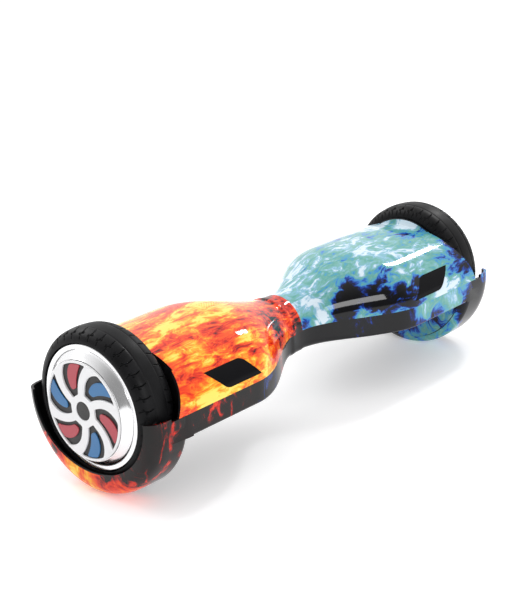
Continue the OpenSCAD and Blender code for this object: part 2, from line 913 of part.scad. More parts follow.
left() magnet_ring();  // magnets_left
magnet_ring();  // magnets_right
left() rim();  // rim_left
rim();  // rim_right
left() motor_cover();  // motor_cover_left
motor_cover();  // motor_cover_right
left() bearings();  // bearings_left
bearings();  // bearings_right
left() tyre();  // tyre_left
tyre();  // tyre_right
left() hub_backing();  // hub_backing_left
hub_backing();  // hub_backing_right
left() hub_plate();  // hub_plate_left
hub_plate();  // hub_plate_right
color("indianred") left() inserts(0);  // red_inserts_left
color("indianred") inserts(0);  // red_inserts_right
color("steelblue") left() inserts(60);  // blue_inserts_left
color("steelblue") inserts(60);  // blue_inserts_right
left() motor_cable();  // motor_cable_left
motor_cable();  // motor_cable_right
pivot_tube();
pivot_bushes();
pivot_circlip();
left() main_board();
left() heat_sink();
board_loom();
battery_case();
battery_cells();
left() speaker();
charge_socket();
charge_cap();
power_switch();
power_button();
status_window();
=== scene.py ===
"""Looks of the hoverboard: shells with a fire and an ice print, treaded tyres and polished rims."""
import json
import math

import bpy
import numpy as np
from mathutils import Matrix, Vector


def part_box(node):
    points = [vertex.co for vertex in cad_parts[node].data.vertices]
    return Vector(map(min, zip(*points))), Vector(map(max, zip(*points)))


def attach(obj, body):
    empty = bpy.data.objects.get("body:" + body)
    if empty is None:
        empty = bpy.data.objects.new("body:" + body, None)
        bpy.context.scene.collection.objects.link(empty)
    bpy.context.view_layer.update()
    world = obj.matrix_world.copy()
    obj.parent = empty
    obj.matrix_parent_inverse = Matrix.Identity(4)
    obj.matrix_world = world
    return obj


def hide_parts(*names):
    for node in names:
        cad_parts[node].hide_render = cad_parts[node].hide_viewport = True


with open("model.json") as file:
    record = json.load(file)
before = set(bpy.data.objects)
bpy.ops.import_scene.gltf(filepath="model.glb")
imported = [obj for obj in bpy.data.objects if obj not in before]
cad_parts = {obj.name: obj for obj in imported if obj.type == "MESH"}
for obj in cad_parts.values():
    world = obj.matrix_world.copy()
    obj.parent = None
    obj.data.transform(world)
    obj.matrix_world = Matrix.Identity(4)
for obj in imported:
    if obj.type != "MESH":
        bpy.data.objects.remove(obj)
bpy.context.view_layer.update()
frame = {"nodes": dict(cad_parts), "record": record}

# ---- sizes, in millimetres, as the frame has them ----

MM = 0.001


def box_mm(node):
    """Lowest and highest corner of a CAD node, in millimetres."""
    low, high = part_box(node)
    return low / MM, high / MM


TYRE_LOW, TYRE_HIGH = box_mm("tyre_right")
PLATE_LOW, PLATE_HIGH = box_mm("hub_plate_right")

AXIS_Z = (TYRE_LOW.z + TYRE_HIGH.z) / 2
HALF_LENGTH = PLATE_HIGH.x
TYRE_R = (TYRE_HIGH.z - TYRE_LOW.z) / 2
TYRE_W = 45.5
TYRE_MID = HALF_LENGTH - 54.5 + TYRE_W / 2
HUB_R = (PLATE_HIGH.z - PLATE_LOW.z) / 2
SEAM_Z = AXIS_Z + 0.8
DECK_Z = AXIS_Z - 23.4
WALL = 2.6
NECK_X = 0.4
END_X = HALF_LENGTH - 56.4
HALF_WIDTH = 93.4
WAIST_HALF = 33.6
DOME_RISE = 57.5
NECK_RISE = 33.4
COLLAR_PROUD = 1.8
FENDER_R = 93.3
LIP_R = 67.5
LIP_X = 289
FENDER_SQUARENESS = 0.64
FENDER_ROUND_X = HALF_LENGTH - 30
TIP_ANGLE = math.radians(2.2)
TIP_X = HALF_LENGTH - 29.2
EAR_X = HALF_LENGTH - 39
EAR_RISE = 43.7
WELL_R = TYRE_R + 2.5
RIM_R = 66
RIM_OUT = HALF_LENGTH - 10
RIM_IN = HALF_LENGTH - 51
SEAT_R = RIM_R - 3.5
AXLE_HOLE_R = 12
MAT_FROM, MAT_TO, MAT_INSET = 84, 222, 21
MAT_DEPTH = 4.5
BOSS_AT = ((62, 42), (128, 78), (214, 80))
BOSS_R, SCREW_HEAD_R, SCREW_R = 5, 4, 2.2
BELLY_LIP_ROUND = 14
BELLY_LIP_R = 66
KNUCKLE_R = 9
SPEAKER_X = 108
SOUND_HOLE_R = 0.9
SOUND_HOLE_PITCH = 3.6
SWITCH_AT = (190, AXIS_Z - 11.3)


def smooth(t):
    """Smooth step from 0 to 1."""
    u = np.clip(t, 0, 1)
    return u * u * (3 - 2 * u)


def collar(x, proud):
    """Extra size of the waist collar at distance x."""
    collar_end, fall = 18, 5
    return proud * (1 - smooth((x - collar_end) / fall))


def body_half(x, proud=0.0):
    """Half the width of the body at distance x from the middle."""
    start, run = 2, 136
    return WAIST_HALF + (HALF_WIDTH - WAIST_HALF) * smooth((x - start) / run) + collar(x, proud)


def dome_rise(x, proud=0.0):
    """Height of the belly above the seam at distance x."""
    run = 125
    return NECK_RISE + (DOME_RISE - NECK_RISE) * smooth(x / run) + collar(x, proud)


def flare(x):
    """Radius of the round lip that the belly ends in, or 0 before the lip starts."""
    t = np.clip((x - END_X + BELLY_LIP_ROUND) / BELLY_LIP_ROUND, 0, 1)
    return np.where(t > 0, BELLY_LIP_R - BELLY_LIP_ROUND * np.sqrt(1 - t * t), 0)


def belly_radius(x, angle, inset, proud):
    """Radius of the belly's section at distance x in the direction of angle."""
    n = 2 + 0.2 * smooth(x / 60)
    half = body_half(x, proud) - inset
    rise = dome_rise(x, proud) - inset
    bulge = (np.abs(np.cos(angle) / half) ** n + np.abs(np.sin(angle) / rise) ** n) ** (-1 / n)
    return np.maximum(flare(x) - inset, bulge)


# ---- mesh tools ----

def piece_from(name, points, faces):
    """A mesh object from points in millimetres."""
    mesh = bpy.data.meshes.new(name)
    mesh.from_pydata([tuple(float(c) * MM for c in p) for p in points], [], faces)
    mesh.update()
    obj = bpy.data.objects.new(name, mesh)
    bpy.context.scene.collection.objects.link(obj)
    return obj


def loft(name, rings, closed=False):
    """A closed solid through rings of points; closed joins the last ring to the first."""
    rings = np.asarray(rings, float)
    count, size = rings.shape[:2]
    faces = []
    for i in range(count if closed else count - 1):
        a = i * size
        b = (i + 1) % count * size
        for j in range(size):
            k = (j + 1) % size
            faces.append((a + j, a + k, b + k, b + j))
    if not closed:
        faces.append(tuple(range(size - 1, -1, -1)))
        faces.append(tuple((count - 1) * size + j for j in range(size)))
    obj = piece_from(name, rings.reshape(-1, 3), faces)
    mesh = obj.data
    volume = sum(signed_volume(mesh, p) for p in mesh.polygons)
    if volume < 0:
        mesh.flip_normals()
    return obj


def signed_volume(mesh, polygon):
    """Share of a polygon in the signed volume of its mesh."""
    corners = [mesh.vertices[v].co for v in polygon.vertices]
    total = 0.0
    for i in range(1, len(corners) - 1):
        total += corners[0].dot(corners[i].cross(corners[i + 1]))
    return total


def tube(name, x0, x1, radius, steps=96):
    """A solid cylinder about the wheel axis."""
    turn = np.linspace(0, 2 * math.pi, steps, endpoint=False)
    rings = [[(x, radius * math.cos(t), AXIS_Z + radius * math.sin(t)) for t in turn] for x in (x0, x1)]
    return loft(name, rings)


def post(name, x, y, z0, z1, radius, steps=32):
    """A solid upright cylinder."""
    turn = np.linspace(0, 2 * math.pi, steps, endpoint=False)
    rings = [[(x + radius * math.cos(t), y + radius * math.sin(t), z) for t in turn] for z in (z0, z1)]
    return loft(name, rings)


def block(name, low, high):
    """A solid box between two corners."""
    (x0, y0, z0), (x1, y1, z1) = low, high
    outline = ((y0, z0), (y1, z0), (y1, z1), (y0, z1))
    return loft(name, [[(x, y, z) for y, z in outline] for x in (x0, x1)])


def combine(target, tools, operation="DIFFERENCE"):
    """Cuts tools out of target, or joins them to it, and removes them."""
    for tool in tools:
        change = target.modifiers.new("combine", "BOOLEAN")
        change.object = tool
        change.operation = operation
        change.solver = "MANIFOLD"
    settle(target)
    for tool in tools:
        bpy.data.objects.remove(tool)
    return target


def settle(obj):
    """Applies the modifiers of obj to its mesh."""
    graph = bpy.context.evaluated_depsgraph_get()
    mesh = bpy.data.meshes.new_from_object(obj.evaluated_get(graph))
    obj.modifiers.clear()
    obj.data = mesh
    return obj


def mirrored(obj, side):
    """Mirrors obj in X when side is -1."""
    if side < 0:
        obj.data.transform(Matrix.Scale(-1, 4, Vector((1, 0, 0))))
        obj.data.flip_normals()
    return obj


def shade(obj, angle=30, round_edges=0.0):
    """Smooth shading with sharp edges kept above angle, and rounded edges if asked."""
    if round_edges:
        bevel = obj.modifiers.new("rounding", "BEVEL")
        bevel.width = round_edges * MM
        bevel.segments = 2
        bevel.limit_method = "ANGLE"
        bevel.angle_limit = math.radians(40)
        bevel.harden_normals = False
        settle(obj)
    obj.data.polygons.foreach_set("use_smooth", [True] * len(obj.data.polygons))
    obj.data.set_sharp_from_angle(angle=math.radians(angle))
    weighted = obj.modifiers.new("normals", "WEIGHTED_NORMAL")
    weighted.keep_sharp = True
    weighted.weight = 80
    return obj


def show(obj, body, material, nodes):
    """Puts a finished piece in place of its CAD nodes."""
    obj.data.materials.clear()
    obj.data.materials.append(material)
    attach(obj, body)
    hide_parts(*nodes)
    return obj


# ---- materials ----

class Finish:
    """A node material with one Principled shader, built step by step."""

    def __init__(self, name):
        self.material = bpy.data.materials.new(name)
        self.material.use_nodes = True
        self.tree = self.material.node_tree
        self.tree.nodes.clear()
        self.shader = self.add("ShaderNodeBsdfPrincipled")
        output = self.add("ShaderNodeOutputMaterial")
        self.tree.links.new(self.shader.outputs["BSDF"], output.inputs["Surface"])
        self.place = self.add("ShaderNodeTexCoord").outputs["Object"]

    def add(self, kind, inputs=None, **settings):
        """A node with its settings, and its inputs set or linked."""
        node = self.tree.nodes.new(kind)
        for name, value in settings.items():
            setattr(node, name, value)
        for key, value in (inputs or {}).items():
            self.feed(node, key, value)
        return node

    def feed(self, node, key, value):
        """Links value to an input if it is a socket, or sets it."""
        if isinstance(value, bpy.types.NodeSocket):
            self.tree.links.new(value, node.inputs[key])
        else:
            node.inputs[key].default_value = value

    def set(self, **values):
        """Sets inputs of the shader; underscores stand for spaces."""
        for name, value in values.items():
            self.feed(self.shader, name.replace("_", " "), value)
        return self

    def math(self, operation, a, b=0.0, c=0.0):
        """A math node's result."""
        return self.add("ShaderNodeMath", {0: a, 1: b, 2: c}, operation=operation).outputs[0]

    def vector(self, operation, a, b=(0, 0, 0), scale=1.0):
        """A vector math node's result."""
        node = self.add("ShaderNodeVectorMath", operation=operation)
        self.feed(node, 0, a)
        if operation not in ("LENGTH", "SCALE"):
            self.feed(node, 1, b)
        if operation == "SCALE":
            self.feed(node, "Scale", scale)
        return node.outputs["Value" if operation in ("LENGTH", "DISTANCE") else "Vector"]

    def noise(self, place, scale, detail=4.0, roughness=0.5, distortion=0.0, output="Fac"):
        """Fractal noise at place."""
        inputs = {"Vector": place, "Scale": scale, "Detail": detail, "Roughness": roughness}
        inputs["Distortion"] = distortion
        return self.add("ShaderNodeTexNoise", inputs).outputs[output]

    def ramp(self, value, stops):
        """A colour ramp with (position, colour) stops."""
        node = self.add("ShaderNodeValToRGB", {"Fac": value})
        scale = node.color_ramp
        while len(scale.elements) < len(stops):
            scale.elements.new(1.0)
        for element, (position, colour) in zip(scale.elements, stops):
            element.position = position
            element.color = (*colour, 1.0)
        return node.outputs["Color"]

    def mix(self, share, a, b):
        """Two colours mixed by share."""
        node = self.add("ShaderNodeMix", data_type="RGBA")
        for index, value in ((0, share), (6, a), (7, b)):
            if not isinstance(value, bpy.types.NodeSocket) and index > 0:
                value = (*value, 1.0)
            self.feed(node, index, value)
        return node.outputs[2]

    def between(self, value, low, high, to_low=0.0, to_high=1.0):
        """Smooth step of value from low to high."""
        inputs = {"Value": value, "From Min": low, "From Max": high}
        inputs.update({"To Min": to_low, "To Max": to_high})
        return self.add("ShaderNodeMapRange", inputs, interpolation_type="SMOOTHSTEP").outputs[0]

    def spot(self, place, centre, radius):
        """1 at centre (in millimetres) falling smoothly to 0 at radius."""
        away = self.vector("DISTANCE", place, tuple(c * MM for c in centre))
        return self.between(away, 0.0, radius * MM, 1.0, 0.0)

    def axis(self, place, letter):
        """One coordinate of place."""
        return self.add("ShaderNodeSeparateXYZ", {0: place}).outputs[letter]

    def bump(self, height, strength, distance):
        """Bumps the shader's normal by height; distance is in millimetres."""
        inputs = {"Height": height, "Strength": strength, "Distance": distance * MM}
        self.set(Normal=self.add("ShaderNodeBump", inputs).outputs["Normal"])
        return self

    def wavy(self, stretch, scale, amount, detail=2.0):
        """Object coordinates stretched along the axes and pushed about by noise."""
        place = self.vector("MULTIPLY", self.place, stretch)
        push = self.noise(place, scale, detail, 0.5, output="Color")
        push = self.vector("SUBTRACT", push, (0.5, 0.5, 0.5))
        push = self.vector("SCALE", push, scale=amount)
        return self.vector("ADD", place, push)


def gather(finish, place, spots):
    """Sum of spots, each (centre, radius, amount)."""
    total = None
    for centre, radius, amount in spots:
        term = finish.math("MULTIPLY", finish.spot(place, centre, radius), amount)
        total = term if total is None else finish.math("ADD", total, term)
    return total


FIRE = (
    (0.00, (0.002, 0.001, 0.001)),
    (0.24, (0.008, 0.001, 0.001)),
    (0.31, (0.10, 0.003, 0.002)),
    (0.39, (0.46, 0.010, 0.003)),
    (0.51, (0.78, 0.034, 0.006)),
    (0.63, (0.88, 0.090, 0.008)),
    (0.75, (0.94, 0.21, 0.012)),
    (0.87, (0.98, 0.46, 0.022)),
    (0.99, (1.00, 0.72, 0.12)),
)
ICE = (
    (0.00, (0.001, 0.001, 0.002)),
    (0.20, (0.002, 0.003, 0.010)),
    (0.25, (0.003, 0.010, 0.09)),
    (0.34, (0.008, 0.055, 0.36)),
    (0.43, (0.04, 0.21, 0.58)),
    (0.52, (0.08, 0.35, 0.50)),
    (0.60, (0.11, 0.35, 0.31)),
    (0.72, (0.17, 0.42, 0.38)),
    (0.84, (0.22, 0.46, 0.62)),
    (0.98, (0.66, 0.78, 0.86)),
)


def flames(finish, heat, stretch, palette, wisp, wisp_scale):
    """A printed flame pattern: warped noise at two scales plus heat, with fine bright wisps."""
    place = finish.wavy(stretch, 18.0, 0.045, 3.0)
    broad = finish.noise(place, 20.0, 3.0, 0.5, 0.7)
    small = finish.noise(place, 52.0, 7.0, 0.62, 1.1)
    coarse = finish.math("MULTIPLY_ADD", small, 0.55, finish.math("MULTIPLY", broad, 0.55))
    fine = finish.noise(place, wisp_scale, 5.0, 0.55, 1.2)
    ridge = finish.math("MULTIPLY_ADD", fine, 2.0, -1.0)
    ridge = finish.math("ABSOLUTE", ridge)
    ridge = finish.math("SUBTRACT", 1.0, ridge)
    ridge = finish.math("POWER", ridge, 7.0)
    level = finish.math("MULTIPLY_ADD", coarse, 2.7, -0.90)
    level = finish.math("ADD", level, heat)
    level = finish.math("MULTIPLY_ADD", ridge, wisp, level)
    return finish.ramp(level, palette)


def gloss(finish, colour):
    """Clear gloss over a print, with the faint ripple of moulded plastic."""
    finish.set(Base_Color=colour, Roughness=0.06, IOR=1.5, Specular_IOR_Level=0.32)
    ripple = finish.noise(finish.place, 160.0, 2.0)
    return finish.bump(ripple, 0.06, 0.25)


def fire_belly():
    """Fire print of the left belly shell."""
    f = Finish("fire_print")
    heat = gather(f, f.place, (
        ((-200, -93, 97), 42, 0.20),
        ((-200, -35, 146), 55, 0.18),
        ((-120, -10, 150), 48, 0.20),
        ((-235, -70, 130), 34, -0.08),
        ((-110, -60, 130), 40, -0.04),
        ((-64, -50, 120), 34, -0.34),
        ((-85, -74, 106), 30, -0.34),
        ((-8, -30, 98), 28, -0.60),
        ((-8, -8, 124), 36, -0.52),
        ((-45, -34, 118), 30, -0.42),
        ((-62, 0, 132), 40, -0.22),
    ))
    heat = f.math("ADD", heat, 0.07)
    colour = flames(f, heat, (0.62, 1.6, 1.6), FIRE, 0.20, 70.0)
    return gloss(f, colour).material


def fire_deck():
    """Black print with faint red flames, and fire under the fender, of the left deck shell."""
    f = Finish("fire_deck_print")
    heat = gather(f, f.place, (
        ((-285, -44, 12), 44, 0.62),
        ((-285, 24, 6), 70, 0.75),
        ((-282, 75, 50), 40, 0.30),
        ((-270, -70, 40), 30, 0.20),
        ((-270, -90, 78), 22, 0.10),
        ((-205, -93, 80), 24, 0.14),
    ))
    heat = f.math("ADD", heat, -0.54)
    colour = flames(f, heat, (1.3, 1.0, 0.7), FIRE, 0.05, 34.0)
    streak = f.noise(f.wavy((1.2, 1.2, 0.8), 20.0, 0.05), 30.0, 2.0)
    streak = f.math("ABSOLUTE", f.math("SUBTRACT", streak, 0.5))
    streak = f.between(streak, 0.0, 0.03, 1.0, 0.0)
    corner = f.spot(f.place, (-118, -88, 80), 34)
    colour = f.mix(f.math("MULTIPLY", streak, corner), colour, (0.01, 0.04, 0.22))
    return gloss(f, colour).material


def ice_belly():
    """Ice print of the right belly shell."""
    f = Finish("ice_print")
    heat = gather(f, f.place, (
        ((50, -54, 108), 36, -0.85),
        ((98, -80, 108), 46, -0.80),
        ((138, -92, 108), 34, -0.62),
        ((70, -68, 96), 18, 0.42),
        ((232, -82, 122), 54, -0.58),
        ((10, -34, 98), 18, -0.50),
        ((70, -46, 126), 22, -0.60),
        ((118, -62, 132), 20, -0.55),
        ((215, -30, 144), 36, -0.25),
        ((30, -44, 100), 16, 0.50),
        ((232, -5, 152), 26, 0.60),
    ))
    heat = f.math("ADD", heat, 0.13)
    colour = flames(f, heat, (0.8, 1.5, 1.5), ICE, 0.16, 30.0)
    return gloss(f, colour).material


def ice_deck():
    """Black print with ice flames of the right deck shell."""
    f = Finish("ice_deck_print")
    heat = gather(f, f.place, (
        ((150, -93, 84), 50, 0.60),
        ((205, -93, 84), 62, 0.85),
        ((240, -20, 8), 50, 0.90),
        ((238, -62, 32), 40, 0.70),
        ((276, -92, 94), 30, 0.75),
    ))
    heat = f.math("ADD", heat, -0.72)
    colour = flames(f, heat, (1.0, 1.2, 1.0), ICE, 0.06, 30.0)
    return gloss(f, colour).material


def tyre_rubber():
    """Black tyre rubber with soft patches and a fine grain."""
    f = Finish("tyre_rubber")
    grain = f.noise(f.place, 900.0, 3.0)
    patch = f.noise(f.place, 40.0, 4.0)
    colour = f.ramp(patch, ((0.35, (0.004, 0.004, 0.0045)), (0.7, (0.009, 0.009, 0.010))))
    rough = f.between(patch, 0.3, 0.7, 0.38, 0.55)
    f.set(Base_Color=colour, Roughness=rough, Specular_IOR_Level=0.13)
    return f.bump(grain, 0.25, 0.15).material


def polished_metal(name, colour, roughness, turned=True):
    """Polished or turned metal, with fine rings about the wheel axis."""
    f = Finish(name)
    centred = f.vector("SUBTRACT", f.place, (0, 0, AXIS_Z * MM))
    flat = f.vector("MULTIPLY", centred, (0, 1, 1))
    radius = f.vector("LENGTH", flat)
    rings = f.noise(f.add("ShaderNodeCombineXYZ", {0: radius}).outputs[0], 2600.0, 2.0)
    cloud = f.noise(f.place, 30.0, 4.0)
    tone = f.mix(cloud, tuple(c * 0.93 for c in colour), colour)
    rough = f.between(cloud, 0.3, 0.7, roughness, roughness * 1.5)
    f.set(Base_Color=tone, Metallic=1.0, Roughness=rough)
    if turned:
        f.bump(rings, 0.08, 0.05)
    return f.material


def plain(name, colour, roughness, grain=700.0, depth=0.03, metallic=0.0, specular=0.5, spread=0.15):
    """A moulded or painted surface with fine grain and slight tone changes."""
    f = Finish(name)
    cloud = f.noise(f.place, 55.0, 4.0)
    darker = tuple(c * (1 - spread) for c in colour)
    lighter = tuple(min(1, c * (1 + spread)) for c in colour)
    tone = f.mix(cloud, darker, lighter)
    rough = f.between(cloud, 0.25, 0.75, roughness * 0.85, min(1.0, roughness * 1.15))
    f.set(Base_Color=tone, Roughness=rough, Metallic=metallic, Specular_IOR_Level=specular)
    return f.bump(f.noise(f.place, grain, 3.0), 0.3, depth).material


MATERIALS = {
    "fire_shell": fire_belly(),
    "ice_shell": ice_belly(),
    "fire_deck": fire_deck(),
    "ice_deck": ice_deck(),
    "tyre_rubber": tyre_rubber(),
    "polished_rim": polished_metal("polished_rim", (0.90, 0.90, 0.91), 0.13),
    "lamp_black": plain("lamp_black", (0.004, 0.004, 0.005), 0.12, 300.0, 0.004, specular=0.07),
    "circuit_board": plain("circuit_board", (0.012, 0.13, 0.05), 0.35),
    "mat_rubber": plain("mat_rubber", (0.018, 0.018, 0.019), 0.62, 900.0, 0.10),
    "cast_alloy": polished_metal("cast_alloy", (0.55, 0.56, 0.58), 0.34, turned=False),
    "axle_steel": polished_metal("axle_steel", (0.50, 0.50, 0.52), 0.22),
    "dark_steel": plain("dark_steel", (0.05, 0.05, 0.055), 0.32, metallic=1.0),
    "lamination": plain("lamination", (0.18, 0.18, 0.19), 0.45, metallic=1.0),
    "copper": plain("copper", (0.62, 0.24, 0.10), 0.28, metallic=1.0),
    "magnet": plain("magnet", (0.55, 0.55, 0.56), 0.22, metallic=1.0),
    "hub_white": plain("hub_white", (0.86, 0.86, 0.87), 0.22, 500.0, 0.01, spread=0.02),
    "hub_black": plain("hub_black", (0.022, 0.020, 0.020), 0.5),
    "insert_red": plain("insert_red", (0.46, 0.055, 0.075), 0.38, 800.0, 0.02, spread=0.06),
    "insert_blue": plain("insert_blue", (0.035, 0.17, 0.39), 0.38, 800.0, 0.02, spread=0.06),
    "cable_sleeve": plain("cable_sleeve", (0.03, 0.03, 0.03), 0.6, 1400.0, 0.12),
    "nylon": plain("nylon", (0.70, 0.67, 0.58), 0.45),
    "battery_wrap": plain("battery_wrap", (0.02, 0.07, 0.33), 0.30),
    "cell_wrap": plain("cell_wrap", (0.04, 0.30, 0.28), 0.30),
    "black_plastic": plain("black_plastic", (0.008, 0.008, 0.009), 0.40, 1100.0, 0.06, specular=0.3),
    "cap_rubber": plain("cap_rubber", (0.016, 0.016, 0.016), 0.6, 900.0, 0.08),
    "switch_metal": polished_metal("switch_metal", (0.72, 0.72, 0.74), 0.16),
    "button_red": plain("button_red", (0.42, 0.012, 0.012), 0.25),
}


def finish_nodes():
    """Gives every CAD node the finish of its slot."""
    for part in frame["record"]["subparts"]:
        obj = frame["nodes"][part["node"]]
        obj.data.materials.clear()
        obj.data.materials.append(MATERIALS[part["material_slot"]])


# ---- shells ----

def belly_stations():
    """Distances from the middle at which the belly's section is drawn."""
    lip_x = END_X - BELLY_LIP_ROUND
    body = np.linspace(NECK_X, lip_x, 110)
    lip = lip_x + BELLY_LIP_ROUND * np.sin(np.linspace(0.08, math.pi / 2, 14))
    return np.concatenate([body, lip])


def belly_solid(name, inset, dip, x0, x1, proud):
    """Solid belly form between two stations; dip is how far it reaches below the seam."""
    stations = belly_stations()
    stations = stations[(stations > x0 + 0.05) & (stations < x1 - 0.05)]
    stations = np.concatenate([[x0], stations, [x1]])
    angles = np.linspace(-dip, math.pi + dip, 110)
    rings = []
    for x in stations:
        radius = belly_radius(x, angles, inset, proud)
        rings.append(np.stack([
            np.full_like(radius, x), -radius * np.cos(angles), SEAM_Z + radius * np.sin(angles)
        ], axis=1))
    return loft(name, rings)


def arc(centre, radius, start, stop, count):
    """Points of an arc in a plane; angles in degrees."""
    turn = np.radians(np.linspace(start, stop, count))
    return [(centre[0] + radius * math.cos(t), centre[1] + radius * math.sin(t)) for t in turn]


def lamp_outline():
    """The slanted lamp window as (x, height above the axis), with two sharp and two round corners."""
    low = arc((176, 23), 15, 270, 312.5, 10)
    high = arc((158.9, 15), 15, 90, 136.5, 10)
    return [(131.6, 8), *low, (205.8, 30), *high]


def shrunk(outline, amount):
    """An outline moved inwards by amount."""
    points = np.array(outline, float)
    before = points - np.roll(points, 1, axis=0)
    after = np.roll(points, -1, axis=0) - points
    before /= np.linalg.norm(before, axis=1)[:, None]
    after /= np.linalg.norm(after, axis=1)[:, None]
    tangent = before + after
    tangent /= np.linalg.norm(tangent, axis=1)[:, None]
    inward = np.stack([-tangent[:, 1], tangent[:, 0]], axis=1)
    lean = np.maximum(0.35, np.abs(before[:, 0] * tangent[:, 0] + before[:, 1] * tangent[:, 1]))
    return points + inward * (amount / lean)[:, None]


def lamp_prism(shrink):
    """The lamp outline pushed through the front of the shell."""
    outline = shrunk(lamp_outline(), shrink)
    before_shell, behind_shell = -130, -50
    return loft("lamp_cut", [[(x, y, AXIS_Z + z) for x, z in outline] for y in (before_shell, behind_shell)])


def belly_shell(side, proud):
    """One belly shell, with its lamp opening, axle hole and the ears beside the wheel."""
    name = "left" if side < 0 else "right"
    shell = belly_solid(f"belly_{name}", 0, 0, NECK_X, EAR_X, proud)
    past = EAR_X + 5
    top = SEAM_Z + 100
    outside = [(END_X, SEAM_Z + EAR_RISE), (EAR_X, SEAM_Z - 1), (past, SEAM_Z - 1)]
    outside += [(past, top), (END_X, top)]
    cuts = [
        loft("cut", [[(x, y, z) for x, z in outside] for y in (-150, 150)]),
        belly_solid("cut", WALL, 0.1, END_X, past, 0),
        tube("cut", END_X, past, WELL_R, 160),
        belly_solid("cut", WALL, 0.1, NECK_X - 1, END_X - WALL, proud),
        lamp_prism(0),
        tube("cut", END_X - 8, END_X + 4, AXLE_HOLE_R),
    ]
    if side < 0:
        for i in range(-3, 4):
            for j in range(-2, 3):
                x = SPEAKER_X + i * SOUND_HOLE_PITCH
                y = j * SOUND_HOLE_PITCH
                cuts.append(post("cut", x, y, SEAM_Z + 30, SEAM_Z + 80, SOUND_HOLE_R, 16))
    combine(shell, cuts)
    mirrored(shell, side)
    shade(shell, 35)
    slot = "fire_shell" if side < 0 else "ice_shell"
    show(shell, f"{name}_half", MATERIALS[slot], [f"belly_shell_{name}"])
    leave_black(shell, lambda c, n: abs(c.x) > END_X - 0.2 and in_belly(c) > 0.6)


def in_belly(c):
    """How far a point lies inside the belly's outer surface, in millimetres."""
    angle = math.atan2(c.z - SEAM_Z, c.y)
    return float(belly_radius(END_X, angle, 0, 0)) - math.hypot(c.y, c.z - SEAM_Z)


def leave_black(obj, inside):
    """Leaves the faces that pass the test unprinted, in black plastic."""
    obj.data.materials.append(MATERIALS["black_plastic"])
    for face in obj.data.polygons:
        face.material_index = int(inside(face.center / MM, face.normal))


def lamp_window(side):
    """The black lamp window, flush with the shell."""
    name = "left" if side < 0 else "right"
    window = belly_solid("lamp_" + name, 0.15, 0, 122, 214, 0)
    inner = belly_solid("cut", 2.2, 0.1, 100, 230, 0)
    combine(window, [inner])
    combine(window, [lamp_prism(0.3)], "INTERSECT")
    mirrored(window, side)
    shade(window, 35)
    show(window, f"{name}_half", MATERIALS["lamp_black"], [f"lamp_window_{name}"])


def skirt_ring(x, inset, floor, top, proud):
    """Section of the deck shell's skirt at distance x: straight sides and a rounded bottom edge."""
    half = body_half(x, proud) - inset
    round_r = max(0.6, 3.2 + 5 * (1 - smooth((x - 25) / 60)) - inset)
    corner = np.radians(np.linspace(0, 90, 8))
    y = half - round_r * (1 - np.cos(corner))
    z = floor + round_r * (1 - np.sin(corner))
    right_side = [(y[i], z[i]) for i in range(len(corner))]
    outline = [(half, top), *right_side, *[(-a, b) for a, b in reversed(right_side)], (-half, top)]
    return [(x, a, b) for a, b in outline]


def skirt_solid(name, inset, floor, top, x0, x1, proud):
    """Solid form of the skirt between two stations."""
    stations = np.linspace(x0, x1, 90)
    return loft(name, [skirt_ring(x, inset, floor, top, proud) for x in stations])


def oval(centre, half_x, half_r, start, stop, count):
    """Points (radius, x) of a squarish quarter oval; angles in degrees from the X direction."""
    turn = np.radians(np.linspace(start, stop, count))
    out = half_r * np.abs(np.sin(turn)) ** FENDER_SQUARENESS
    along = half_x * np.abs(np.cos(turn)) ** FENDER_SQUARENESS
    return [(centre[1] + a, centre[0] + b) for a, b in zip(out, along)]


def fender_solid():
    """The fender: its profile swept round the underside of the wheel."""
    rise = FENDER_R - LIP_R
    depth = LIP_X - FENDER_ROUND_X
    centre = (FENDER_ROUND_X, LIP_R)
    x_in = END_X + 0.4
    knuckle = (FENDER_R - KNUCKLE_R, x_in + 10)
    outer = [(LIP_R + 17, x_in)]
    outer += arc(knuckle, KNUCKLE_R, -70, 0, 10)
    outer += oval(centre, depth, rise, 90, 0, 26)
    inner = oval(centre, depth - WALL, rise - WALL, 0, 90, 26)
    inner += arc(knuckle, KNUCKLE_R - WALL, 0, -60, 10)
    inner += [(LIP_R + 14, x_in + WALL), (LIP_R + 14, x_in)]
    profile = outer + inner
    sweep = np.linspace(math.pi - TIP_ANGLE, 2 * math.pi + TIP_ANGLE, 170)
    rings = [[(x, r * math.cos(t), AXIS_Z + r * math.sin(t)) for r, x in profile] for t in sweep]
    fender = loft("fender", rings)
    turn = np.linspace(0, 2 * math.pi, 160, endpoint=False)
    opening = [((LIP_R + 12.5) * math.cos(t), LIP_R * math.sin(t)) for t in turn]
    hole = loft("cut", [[(x, y, AXIS_Z + z) for y, z in opening] for x in (FENDER_ROUND_X, LIP_X + 20)])
    inboard = block("cut", (END_X - 1, -150, SEAM_Z - 0.4), (TIP_X, 150, SEAM_Z + 20))
    return combine(fender, [hole, inboard])


def skirt_band(edge):
    """The skirt's tapering run-on over one side of the fender; edge is -1 in front and 1 behind."""
    start, stop, thick = END_X - 1, TIP_X + 0.5, 3.2
    plan = ((start, thick), (start, 0), (END_X + 5, 0), (stop, thick - 0.1), (stop, thick))
    return loft("band", [[(x, edge * (HALF_WIDTH - d), z) for x, d in plan] for z in (DECK_Z, SEAM_Z)])


def mat_space(grow, z0, z1):
    """The space that a foot mat fills, grown all round."""
    side = 0.6 + grow
    xs = np.linspace(MAT_FROM - side, MAT_TO + side, 40)
    rim = [(x, body_half(x) - MAT_INSET + side) for x in xs]
    outline = [(x, -y) for x, y in rim] + [(x, y) for x, y in reversed(rim)]
    return loft("mat_space", [[(x, y, z) for x, y in outline] for z in (z0, z1)])


